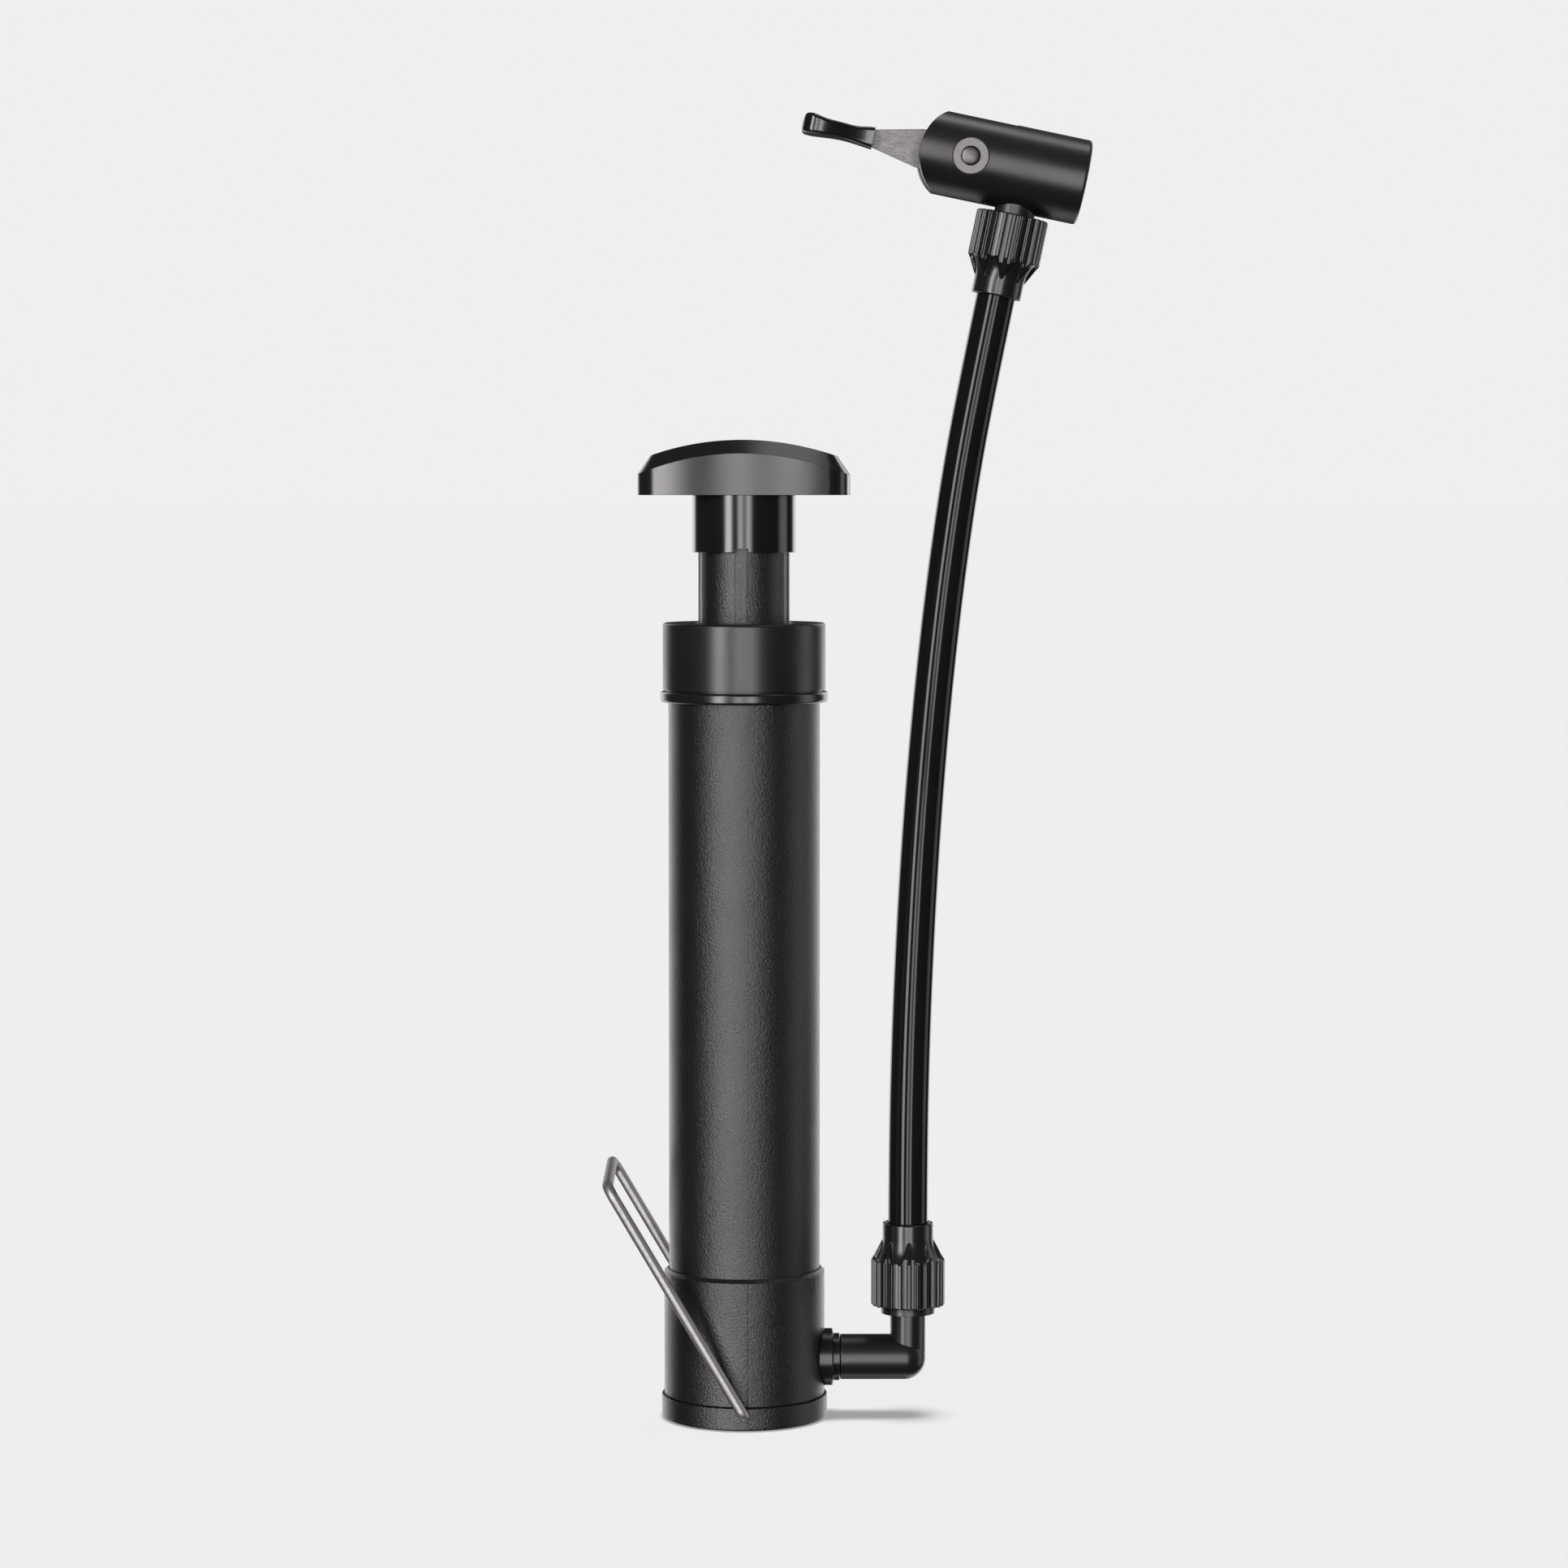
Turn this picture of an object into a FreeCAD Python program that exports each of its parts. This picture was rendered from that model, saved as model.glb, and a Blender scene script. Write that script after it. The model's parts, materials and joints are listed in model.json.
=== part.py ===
import FreeCAD, Part
import math
import os
import types

import Sketcher

# Hand pump with a fold-out foot stand, in millimetres. The origin is the centre of the underside of the
# foot pad, +Z runs up the barrel, +X points to the hose and -Y to the front.

SIZES = {
    # foot and base housing, turned about the barrel's axis
    "pad_radius": 19.4,
    "pad_top": 1.6,
    "foot_radius": 20.85,
    "foot_bottom": 0.2,
    "foot_top": 5.9,
    "foot_hollow_radius": 11,
    "foot_hollow_floor": 3.2,
    "base_radius": 20.2,
    "base_top": 37.9,
    "chamber_radius": 14,
    "chamber_floor": 9,
    "socket_floor": 22.6,
    "clearance": 0.05,
    "screw_circle": 16,
    "screw_radius": 1.5,
    "screw_head_radius": 2.75,
    "screw_tip": 12,
    # barrel and its top
    "barrel_radius": 19,
    "barrel_bore": 17.2,
    "barrel_bottom": 26,
    "barrel_top": 190,
    "collar_radius": 21,
    "collar_bottom": 180.8,
    "cap_bottom": 183.5,
    "cap_lip": 0.45,
    "cap_radius": 20.4,
    "cap_top": 200.6,
    "cap_ceiling": 197.6,
    "cap_mouth": 12.2,
    "bush_bottom": 185,
    "stop_bottom": 183,
    "stop_bore": 11.8,
    # valve plate, poppet and spring
    "plate_radius": 18.95,
    "plate_top": 25.2,
    "cage_radius": 6.5,
    "cage_bore": 4.6,
    "cage_bottom": 11,
    "seat_height": 20.4,
    "seat_radius": 2.5,
    "spring_bottom": 12.8,
    "spring_top": 18.5,
    "spring_radius": 2.6,
    "spring_wire": 0.3,
    # rod, piston and handle
    "stem_radius": 11.45,
    "stem_bore": 9.4,
    "stem_top": 240,
    "key_width": 3.3,
    "key_floor": 11.2,
    "key_count": 5,
    "bush_play": 0.08,
    "piston_radius": 16.95,
    "piston_bottom": 42.6,
    "piston_top": 54.6,
    "piston_screw_radius": 2,
    "sleeve_radius": 12.9,
    "sleeve_bottom": 218.2,
    "handle_bottom": 232.5,
    "handle_height": 13.7,
    "handle_side_radius": 90,
    "handle_end_radius": 60,
    "handle_corner_radius": 5.9,
    "handle_half_width": 14,
    "handle_half_length": 26.55,
    "handle_arch": 70,
    "handle_wall": 2.4,
    "handle_bevel": 3.4,
    "handle_hollow": 5.5,
    "handle_boss_radius": 13.4,
    "pin_height": 236.4,
    "pin_radius": 1.6,
    # foot stand, a bent wire
    "wire_radius": 1.35,
    "stand_pivot_height": 4.1,
    "stand_pin_end": 15.5,
    "stand_pin_bend": 21,
    "stand_bend": 1.6,
    "stand_corner": 3.6,
    "stand_length": 66.8,
    "stand_lean": 30.5,
    # outlet and swivel elbow, turned about the outlet's axis
    "outlet_height": 14.9,
    "flange_radius": 7.15,
    "flange_seat": 18.9,
    "flange_face": 22.4,
    "flange_collar": 24,
    "outlet_bore": 3.85,
    "elbow_play": 0.15,
    "elbow_radius": 5.67,
    "leg_radius": 4.45,
    "leg_axis": 41.3,
    "leg_flange_bottom": 26.2,
    "leg_flange_radius": 6.75,
    "boss_bottom": 27.5,
    "boss_radius": 6.6,
    "boss_top": 37.5,
    "barb_radius": 2.45,
    "barb_length": 12,
    "air_radius": 1.6,
    # hose and its two nuts
    "hose_radius": 5,
    "hose_bore": 2.5,
    "nut_bottom": 28.2,
    "nut_radius": 9.25,
    "nut_rib_length": 12.2,
    "nut_cone_end": 16.3,
    "nut_cone_radius": 6.75,
    "nut_neck_radius": 6.4,
    "nut_length": 20.9,
    "nut_thread_bore": 6.7,
    "nut_thread_length": 10,
    "nut_groove_depth": 0.7,
    "nut_groove_width": 1.15,
    "nut_ribs": 24,
    "nut_fins": 8,
    "nut_fin_width": 1.0,
    # valve head, in its own frame: the origin is the lever's pivot and X runs to the mouth
    "head_x": 57.4,
    "head_y": 26,
    "head_z": 318.2,
    "head_tilt": 11.8,
    "head_radius": 10.85,
    "head_nose": 12.95,
    "head_end": 30.1,
    "head_bore": 7.05,
    "head_bore_start": 9.6,
    "mouth_bore": 8.95,
    "mouth_start": 26.6,
    "slot_half_width": 2.8,
    "slot_end": 10.65,
    "branch_x": 14,
    "branch_radius": 5.6,
    "branch_bottom": 11.8,
    "branch_boss_end": 21.2,
    "upper_nut_start": 11.9,
    "spotface_radius": 4.7,
    "spotface_level": 9.6,
    "washer_thickness": 0.75,
    "pivot_radius": 2.45,
    "pivot_half_length": 10.6,
    "cam_radius": 6.1,
    "cam_offset": 0.9,
    "cam_half_width": 2.5,
    "lever_half_width": 0.8,
    "plunger_radius": 6.9,
    "plunger_back": 10.8,
    "plunger_front": 20.15,
    "tongue_back": 7.3,
    "grommet_start": 20.2,
    "grommet_bore": 3.95,
    "retainer_end": 29.8,
    "retainer_bore": 4.4,
}

# Middle of the hose, from inside the lower nut to inside the upper one. The head and the hose's top
# stand behind the barrel's middle plane, clear of the handle's stroke.
HOSE_ROUTE = [
    (41.3, 0.0, 37.9),
    (41.3, 0.0, 66.0),
    (42.0, 2.4, 95.0),
    (43.4, 7.0, 124.0),
    (45.4, 12.6, 153.0),
    (48.1, 18.2, 182.0),
    (51.4, 22.6, 210.0),
    (55.5, 25.4, 238.3),
    (60.8, 26.0, 266.0),
    (66.52, 26.0, 293.41),
]
ARC_SHARE = 0.45

# The handle and the stem are set a little round from the foot stand; one stem groove faces the front.
STEM_TURN = -3.3
KEY_TURN = STEM_TURN - 90


class Size(float):
    """A number that carries the formula, over the sheet's cells, that gives it."""

    def __new__(cls, value, formula):
        made = float.__new__(cls, value)
        made.formula = formula
        return made

    def __add__(self, other):
        return Size(float(self) + float(other), f"({formula(self)} + {formula(other)})")

    def __sub__(self, other):
        return Size(float(self) - float(other), f"({formula(self)} - {formula(other)})")

    def __mul__(self, other):
        return Size(float(self) * float(other), f"({formula(self)} * {formula(other)})")

    def __truediv__(self, other):
        return Size(float(self) / float(other), f"({formula(self)} / {formula(other)})")

    def __neg__(self):
        return Size(-float(self), f"(-{formula(self)})")


def formula(number):
    return getattr(number, "formula", repr(float(number)))


doc = FreeCAD.newDocument("HandPump")
sheet = doc.addObject("Spreadsheet::Sheet", "Sizes")
for row, (alias, value) in enumerate(SIZES.items(), start=1):
    sheet.set(f"A{row}", alias)
    sheet.set(f"B{row}", str(value))
    sheet.setAlias(f"B{row}", alias)
doc.recompute()
S = types.SimpleNamespace(**{name: Size(value, f"Sizes.{name}") for name, value in SIZES.items()})
V = FreeCAD.Vector
nodes = []


# ---- helpers ------------------------------------------------------------------------------------------


def bind(thing, prop, number):
    """Tie a property to the sheet when its number comes from there."""
    if isinstance(number, Size):
        thing.setExpression(prop, number.formula)


def placed(thing, spot=(0, 0, 0), axis=(0, 0, 1), angle=0):
    """Give an object its place: a turn about an axis, then a shift bound to the sheet."""
    thing.Placement = FreeCAD.Placement(V(*spot), FreeCAD.Rotation(V(*axis), float(angle)))
    for letter, number in zip("xyz", spot):
        bind(thing, f"Placement.Base.{letter}", number)
    return thing


def node(thing, label):
    """Name a finished sub-part: its label is its file's name."""
    thing.Label = label
    nodes.append(thing)
    return thing


def made(kind, name, **sizes):
    thing = doc.addObject(kind, name)
    for prop, number in sizes.items():
        setattr(thing, prop, float(number))
        bind(thing, prop, number)
    return thing


def rod(name, radius, length, spot=(0, 0, 0), axis=(0, 0, 1), angle=0):
    return placed(made("Part::Cylinder", name, Radius=radius, Height=length), spot, axis, angle)


def rod_x(name, radius, start, end, y=0, z=0):
    return rod(name, radius, end - start, (start, y, z), (0, 1, 0), 90)


def rod_y(name, radius, half_length, x=0, z=0):
    return rod(name, radius, half_length * 2, (x, -half_length, z), (1, 0, 0), -90)


def block(name, low, high):
    sides = dict(zip(("Length", "Width", "Height"), (top - base for base, top in zip(low, high))))
    return placed(made("Part::Box", name, **sides), low)


def joined(kind, name, *parts):
    """A boolean of several objects: Part::MultiFuse or Part::MultiCommon."""
    thing = doc.addObject(kind, name)
    thing.Shapes = list(parts)
    return thing


def cut(name, base, *tools):
    thing = doc.addObject("Part::Cut", name)
    thing.Base = base
    thing.Tool = tools[0] if len(tools) == 1 else joined("Part::MultiFuse", f"{name}_tools", *tools)
    return thing


def group(name, *parts):
    thing = doc.addObject("Part::Compound", name)
    thing.Links = list(parts)
    return thing


def origin_feature(body, role):
    return next(feature for feature in body.Origin.OriginFeatures if feature.Role == role)


def sketch_on(body, role, name, lift=0.0):
    sketch = body.newObject("Sketcher::SketchObject", name)
    sketch.AttachmentSupport = [(origin_feature(body, role), "")]
    sketch.MapMode = "FlatFace"
    sketch.AttachmentOffset = FreeCAD.Placement(V(0, 0, float(lift)), FreeCAD.Rotation())
    bind(sketch, "AttachmentOffset.Base.z", lift)
    return sketch


def polygon(sketch, corners):
    """A closed outline of straight edges with every corner bound to the sheet."""
    first = sketch.GeometryCount
    count = len(corners)
    for index, corner in enumerate(corners):
        following = corners[(index + 1) % count]
        sketch.addGeometry(Part.LineSegment(V(*corner, 0), V(*following, 0)))
    for index, corner in enumerate(corners):
        following = first + (index + 1) % count
        sketch.addConstraint(Sketcher.Constraint("Coincident", first + index, 2, following, 1))
        for kind, number in zip(("DistanceX", "DistanceY"), corner):
            limit = Sketcher.Constraint(kind, -1, 1, first + index, 1, float(number))
            place = sketch.addConstraint(limit)
            bind(sketch, f"Constraints[{place}]", number)


def circle(sketch, x, y, radius):
    curve = sketch.addGeometry(Part.Circle(V(x, y, 0), V(0, 0, 1), float(radius)))
    for kind, number in (("DistanceX", x), ("DistanceY", y)):
        place = sketch.addConstraint(Sketcher.Constraint(kind, -1, 1, curve, 3, float(number)))
        bind(sketch, f"Constraints[{place}]", number)
    place = sketch.addConstraint(Sketcher.Constraint("Radius", curve, float(radius)))
    bind(sketch, f"Constraints[{place}]", radius)


def turned(name, outline, about="V_Axis"):
    """A body turned from a half outline: (radius, height) about Z, or (x, radius) about X."""
    body = doc.addObject("PartDesign::Body", name)
    sketch = sketch_on(body, "XZ_Plane", f"{name}_outline")
    polygon(sketch, outline)
    feature = body.newObject("PartDesign::Revolution", f"{name}_turned")
    feature.Profile = sketch
    feature.ReferenceAxis = (sketch, [about])
    feature.Angle = 360
    body.Tip = feature
    return body


def padded(name, role, outline, length):
    """A body of one outline, thickened both ways from an origin plane."""
    body = doc.addObject("PartDesign::Body", name)
    sketch = sketch_on(body, role, f"{name}_outline")
    polygon(sketch, outline)
    add_pad(body, sketch, f"{name}_pad", length)
    return body


def add_pad(body, sketch, name, length, midplane=True):
    feature = body.newObject("PartDesign::Pad", name)
    feature.Profile = sketch
    feature.Length = float(length)
    bind(feature, "Length", length)
    feature.Midplane = midplane
    body.Tip = feature
    return feature


def add_pocket(body, sketch, name):
    """Cut right through the body, both ways from the sketch, and check that it did cut."""
    doc.recompute()
    before = body.Shape.Volume
    feature = body.newObject("PartDesign::Pocket", name)
    feature.Profile = sketch
    feature.Type = "ThroughAll"
    feature.Midplane = True
    body.Tip = feature
    doc.recompute()
    if body.Shape.Volume >= before:
        raise RuntimeError(f"{name} cuts nothing")
    return feature


def around(body, feature, name, count):
    """Repeat a feature round the body's Z axis."""
    pattern = body.newObject("PartDesign::PolarPattern", name)
    pattern.Originals = [feature]
    pattern.Axis = (origin_feature(body, "Z_Axis"), [""])
    pattern.Angle = 360
    pattern.Occurrences = int(count)
    bind(pattern, "Occurrences", count)
    body.Tip = pattern
    doc.recompute()
    return pattern


def rims(shape, *spots):
    """Names of the round edges about Z with these (radius, height) pairs."""
    found = []
    for index, edge in enumerate(shape.Edges, start=1):
        curve = edge.Curve
        for radius, height in spots:
            if isinstance(curve, Part.Circle) and abs(curve.Radius - radius) < 0.01:
                if abs(curve.Center.z - height) < 0.01:
                    found.append(f"Edge{index}")
    return found


def softened(body, kind, size, *spots):
    """Round or bevel a turned body's rims: kind is Fillet or Chamfer."""
    doc.recompute()
    edges = rims(body.Shape, *spots)
    if len(edges) < len(spots):
        raise RuntimeError(f"{body.Name}: a rim is missing")
    last = body.Tip
    feature = body.newObject(f"PartDesign::{kind}", f"{body.Name}_{kind.lower()}")
    feature.Base = (last, edges)
    setattr(feature, "Radius" if kind == "Fillet" else "Size", size)
    body.Tip = feature
    return body


def rounded(name, base, radius, wanted):
    """Part::Fillet on the edges of an object that the test accepts."""
    doc.recompute()
    thing = doc.addObject("Part::Fillet", name)
    thing.Base = base
    edges = [index for index, edge in enumerate(base.Shape.Edges, start=1) if wanted(edge)]
    thing.Edges = [(index, float(radius), float(radius)) for index in edges]
    return thing


# ---- foot and base ------------------------------------------------------------------------------------


def foot_pad():
    pad = turned("foot_pad", [(0, 0), (S.pad_radius, 0), (S.pad_radius, S.pad_top), (0, S.pad_top)])
    node(softened(pad, "Fillet", 0.3, (S.pad_radius, 0)), "foot_pad")


def screw_spots():
    """Places of the foot cap's three screws."""
    for turn in (60, 180, 300):
        angle = math.radians(turn)
        yield S.screw_circle * math.cos(angle), S.screw_circle * math.sin(angle)


def foot_cap():
    recess = S.pad_radius + S.clearance
    ring = turned("foot_cap_blank", [
        (0, S.pad_top),
        (recess, S.pad_top),
        (recess, S.foot_bottom),
        (S.foot_radius, S.foot_bottom),
        (S.foot_radius, S.foot_top),
        (S.foot_hollow_radius, S.foot_top),
        (S.foot_hollow_radius, S.foot_hollow_floor),
        (0, S.foot_hollow_floor),
    ])
    softened(ring, "Fillet", 0.5, (S.foot_radius, S.foot_bottom))
    softened(ring, "Fillet", 0.25, (S.foot_radius, S.foot_top))
    tools = []
    depth = S.foot_radius - S.stand_pin_end + 1
    for start in (S.stand_pin_end - 0.3, -S.foot_radius - 0.7):
        spot = (0, start, S.stand_pivot_height)
        tools.append(rod("pivot_hole", S.wire_radius + S.clearance, depth, spot, (1, 0, 0), -90))
    for x, y in screw_spots():
        tools.append(rod("cap_screw_hole", S.screw_radius + S.clearance, S.foot_top, (x, y, 0)))
        tools.append(rod("cap_screw_sink", S.screw_head_radius + S.clearance, 3.4, (x, y, 0)))
    node(cut("foot_cap", ring, *tools), "foot_cap")


def foot_cap_screws():
    screws = []
    for x, y in screw_spots():
        screw = turned("foot_cap_screw", [
            (0, S.pad_top),
            (S.screw_head_radius, S.pad_top),
            (S.screw_head_radius, 3.3),
            (S.screw_radius, 3.35),
            (S.screw_radius, S.screw_tip),
            (0, S.screw_tip),
        ])
        screws.append(placed(screw, (x, y, 0)))
    node(group("foot_cap_screws", *screws), "foot_cap_screws")


def base_housing():
    shell = turned("base_blank", [
        (0, S.foot_top),
        (S.base_radius, S.foot_top),
        (S.base_radius, S.base_top),
        (S.barrel_radius + S.clearance, S.base_top),
        (S.barrel_radius + S.clearance, S.socket_floor),
        (S.chamber_radius, S.socket_floor),
        (S.chamber_radius, S.chamber_floor),
        (0, S.chamber_floor),
    ])
    softened(shell, "Chamfer", 0.9, (S.base_radius, S.base_top))
    softened(shell, "Chamfer", 0.25, (S.base_radius, S.foot_top))
    z = S.outlet_height
    tools = [
        rod_x("outlet_seat", S.flange_radius + S.clearance, S.flange_seat, S.base_radius + 2, 0, z),
        rod_x("outlet_hole", 5.55, 10, S.base_radius, 0, z),
    ]
    for x, y in screw_spots():
        tools.append(rod("base_screw_hole", S.screw_radius + S.clearance, S.screw_tip + 0.5, (x, y, 0)))
    node(cut("base_housing", shell, *tools), "base_housing")


def foot_stand():
    """Wire bail: a pin, an arm, the cross bar, an arm and a pin, in one plane that leans back."""
    body = doc.addObject("PartDesign::Body", "foot_stand")
    path = sketch_on(body, "YZ_Plane", "stand_path")
    arm = S.stand_pin_bend + S.stand_bend
    top = S.stand_length
    bend = float(S.stand_bend)
    corner = float(S.stand_corner)
    slant = math.sqrt(0.5)
    straight = [
        ((-S.stand_pin_end, 0), (-S.stand_pin_bend, 0)),
        ((-arm, bend), (-arm, top - corner)),
        ((-arm + corner, top), (arm - corner, top)),
        ((arm, top - corner), (arm, bend)),
        ((S.stand_pin_bend, 0), (S.stand_pin_end, 0)),
    ]
    middles = [
        (-S.stand_pin_bend - bend * slant, bend * (1 - slant)),
        (-arm + corner * (1 - slant), top - corner * (1 - slant)),
        (arm - corner * (1 - slant), top - corner * (1 - slant)),
        (S.stand_pin_bend + bend * slant, bend * (1 - slant)),
    ]
    for index, (start, end) in enumerate(straight):
        path.addGeometry(Part.LineSegment(V(*start, 0), V(*end, 0)))
        if index < len(middles):
            following = straight[index + 1][0]
            path.addGeometry(Part.Arc(V(*end, 0), V(*middles[index], 0), V(*following, 0)))
    for index in range(path.GeometryCount - 1):
        path.addConstraint(Sketcher.Constraint("Coincident", *joint_of(path, index)))
    profile = sketch_on(body, "XZ_Plane", "wire_section", S.stand_pin_end)
    circle(profile, 0, 0, S.wire_radius)
    pipe = body.newObject("PartDesign::AdditivePipe", "stand_pipe")
    pipe.Profile = profile
    pipe.Spine = (path, [f"Edge{number}" for number in range(1, path.GeometryCount + 1)])
    body.Tip = pipe
    placed(body, (0, 0, S.stand_pivot_height), (0, 1, 0), -S.stand_lean)
    node(body, "foot_stand")


def joint_of(path, index):
    """The ends of a path's piece and the next that lie on each other, as Sketcher numbers them."""
    spots = [(a, b) for a in (1, 2) for b in (1, 2)]
    gap = {pair: path.getPoint(index, pair[0]).distanceToPoint(path.getPoint(index + 1, pair[1]))
           for pair in spots}
    first, second = min(gap, key=gap.get)
    return index, first, index + 1, second


# ---- barrel, valve and top ----------------------------------------------------------------------------


def ring_outline(bore, radius, bottom, top):
    return [(bore, bottom), (radius, bottom), (radius, top), (bore, top)]


def barrel_group():
    tube = ring_outline(S.barrel_bore, S.barrel_radius, S.barrel_bottom, S.barrel_top)
    node(turned("barrel", tube), "barrel")
    seal = ring_outline(S.barrel_bore - 0.4, S.plate_radius, S.plate_top, S.barrel_bottom)
    node(turned("barrel_base_seal", seal), "barrel_base_seal")
    bore = S.barrel_radius + S.clearance
    collar = turned("barrel_collar", ring_outline(bore, S.collar_radius, S.collar_bottom, S.cap_bottom))
    rim = ((S.collar_radius, S.collar_bottom), (S.collar_radius, S.cap_bottom))
    node(softened(collar, "Fillet", 0.7, *rim), "barrel_collar")


def top_cap():
    cap = turned("top_cap", [
        (S.barrel_radius + S.clearance, S.cap_bottom),
        (S.cap_radius - 0.6, S.cap_bottom),
        (S.cap_radius - 0.6, S.cap_bottom + S.cap_lip),
        (S.cap_radius, S.cap_bottom + S.cap_lip),
        (S.cap_radius, S.cap_top),
        (S.cap_mouth, S.cap_top),
        (S.cap_mouth, S.cap_ceiling),
        (S.barrel_bore, S.cap_ceiling),
        (S.barrel_bore, S.barrel_top + 0.2),
        (S.barrel_radius + S.clearance, S.barrel_top + 0.2),
    ])
    softened(cap, "Fillet", 0.8, (S.cap_radius, S.cap_top))
    node(softened(cap, "Fillet", 0.25, (S.cap_mouth, S.cap_top)), "top_cap")


def rod_guides():
    bush_top = S.cap_ceiling - 0.1
    bore = S.stem_radius + S.bush_play
    bush = turned("guide_bush", ring_outline(bore, S.barrel_bore - S.clearance, S.bush_bottom, bush_top))
    key = sketch_on(bush, "XY_Plane", "bush_key", S.bush_bottom)
    half = S.key_width / 2 - 0.15
    inner = S.key_floor + S.bush_play
    outer = S.stem_radius + 0.6
    polygon(key, [(inner, -half), (outer, -half), (outer, half), (inner, half)])
    pad = add_pad(bush, key, "bush_key_pad", bush_top - S.bush_bottom, midplane=False)
    around(bush, pad, "bush_keys", S.key_count)
    node(placed(bush, (0, 0, 0), (0, 0, 1), KEY_TURN), "guide_bush")
    wiper_radius = S.cap_mouth - S.clearance
    wiper = ring_outline(S.stem_radius + 0.1, wiper_radius, S.cap_ceiling + 0.1, S.cap_top - 0.5)
    node(turned("cap_wiper_seal", wiper), "cap_wiper_seal")
    stop = ring_outline(S.stop_bore, S.barrel_bore - S.clearance, S.stop_bottom, S.bush_bottom)
    node(turned("bump_stop", stop), "bump_stop")


def check_valve():
    plate = turned("valve_plate_blank", [
        (S.seat_radius, S.plate_top),
        (S.plate_radius, S.plate_top),
        (S.plate_radius, S.socket_floor),
        (S.cage_radius, S.socket_floor),
        (S.cage_radius, S.cage_bottom),
        (S.cage_bore, S.cage_bottom),
        (S.cage_bore, S.seat_height),
        (S.seat_radius, S.seat_height),
    ])
    port_height = S.spring_bottom + 2
    ports = [rod(f"cage_port_{turn}", 1.4, 8, (0, 0, port_height), axis, 90)
             for turn, axis in ((0, (0, 1, 0)), (120, (0.866, -0.5, 0)), (240, (-0.866, -0.5, 0)))]
    node(cut("valve_plate", plate, *ports), "valve_plate")
    poppet = turned("check_poppet", [
        (0, S.seat_height + 1.1),
        (S.seat_radius - 0.5, S.seat_height + 1.1),
        (S.seat_radius - 0.5, S.seat_height - S.clearance),
        (S.cage_bore - 0.4, S.seat_height - S.clearance),
        (S.cage_bore - 0.4, S.spring_top),
        (1.4, S.spring_top),
        (1.4, S.spring_top - 2.5),
        (0, S.spring_top - 2.5),
    ])
    node(poppet, "check_poppet")
    ring = ring_outline(1.6, S.cage_bore - S.clearance, S.cage_bottom + 0.3, S.spring_bottom)
    node(turned("spring_retainer", ring), "spring_retainer")


def check_spring():
    body = doc.addObject("PartDesign::Body", "check_spring")
    section = sketch_on(body, "XZ_Plane", "spring_section")
    circle(section, S.spring_radius, S.spring_bottom + S.spring_wire, S.spring_wire)
    coil = body.newObject("PartDesign::AdditiveHelix", "spring_coil")
    coil.Profile = section
    coil.ReferenceAxis = (section, ["V_Axis"])
    coil.Mode = "height-turns-angle"
    coil.Height = float(S.spring_top - S.spring_bottom - S.spring_wire * 2)
    bind(coil, "Height", S.spring_top - S.spring_bottom - S.spring_wire * 2)
    coil.Turns = 5
    body.Tip = coil
    node(body, "check_spring")


# ---- rod, piston and handle ---------------------------------------------------------------------------

def with_stem(name, thing):
    """Turn an object a little about the stem's axis, as the handle and the stem are set."""
    return placed(group(name, thing), (0, 0, 0), (0, 0, 1), STEM_TURN)


def stem_tube():
    tube = turned("stem_blank", ring_outline(S.stem_bore, S.stem_radius, S.piston_top, S.stem_top))
    groove = sketch_on(tube, "XY_Plane", "key_groove")
    half = S.key_width / 2
    far = S.stem_radius + 1
    polygon(groove, [(S.key_floor, -half), (far, -half), (far, half), (S.key_floor, half)])
    around(tube, add_pocket(tube, groove, "key_groove_cut"), "key_grooves", S.key_count)
    placed(tube, (0, 0, 0), (0, 0, 1), KEY_TURN)
    hole = rod_y("stem_pin_hole", S.pin_radius + S.clearance, S.stem_radius + 1, 0, S.pin_height)
    node(cut("stem_tube", tube, with_stem("stem_cross_hole", hole)), "stem_tube")


def piston_group():
    groove_middle = (S.piston_bottom + S.piston_top) / 2
    groove_floor = S.piston_radius - 2.3
    shank = S.piston_screw_radius + S.clearance
    head = turned("piston_head", [
        (shank, S.piston_bottom + 3.4),
        (4.1, S.piston_bottom + 3.4),
        (4.1, S.piston_bottom),
        (S.piston_radius, S.piston_bottom),
        (S.piston_radius, groove_middle - 1.4),
        (groove_floor, groove_middle - 1.4),
        (groove_floor, groove_middle + 1.4),
        (S.piston_radius, groove_middle + 1.4),
        (S.piston_radius, S.piston_top),
        (S.stem_bore - 0.1, S.piston_top),
        (S.stem_bore - 0.1, S.piston_top + 5.8),
        (shank, S.piston_top + 5.8),
    ])
    node(head, "piston_head")
    ring = made("Part::Torus", "piston_o_ring", Radius1=S.piston_radius - 1.1, Radius2=1.15)
    node(placed(ring, (0, 0, groove_middle)), "piston_o_ring")
    plug = ring_outline(shank, S.stem_bore - S.clearance, S.piston_top + 6, S.piston_top + 18)
    node(turned("stem_end_plug", plug), "stem_end_plug")
    screw = turned("piston_screw", [
        (0, S.piston_bottom + 0.3),
        (3.9, S.piston_bottom + 0.3),
        (3.9, S.piston_bottom + 3.3),
        (S.piston_screw_radius, S.piston_bottom + 3.35),
        (S.piston_screw_radius, S.piston_top + 16),
        (0, S.piston_top + 16),
    ])
    node(screw, "piston_screw")


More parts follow.
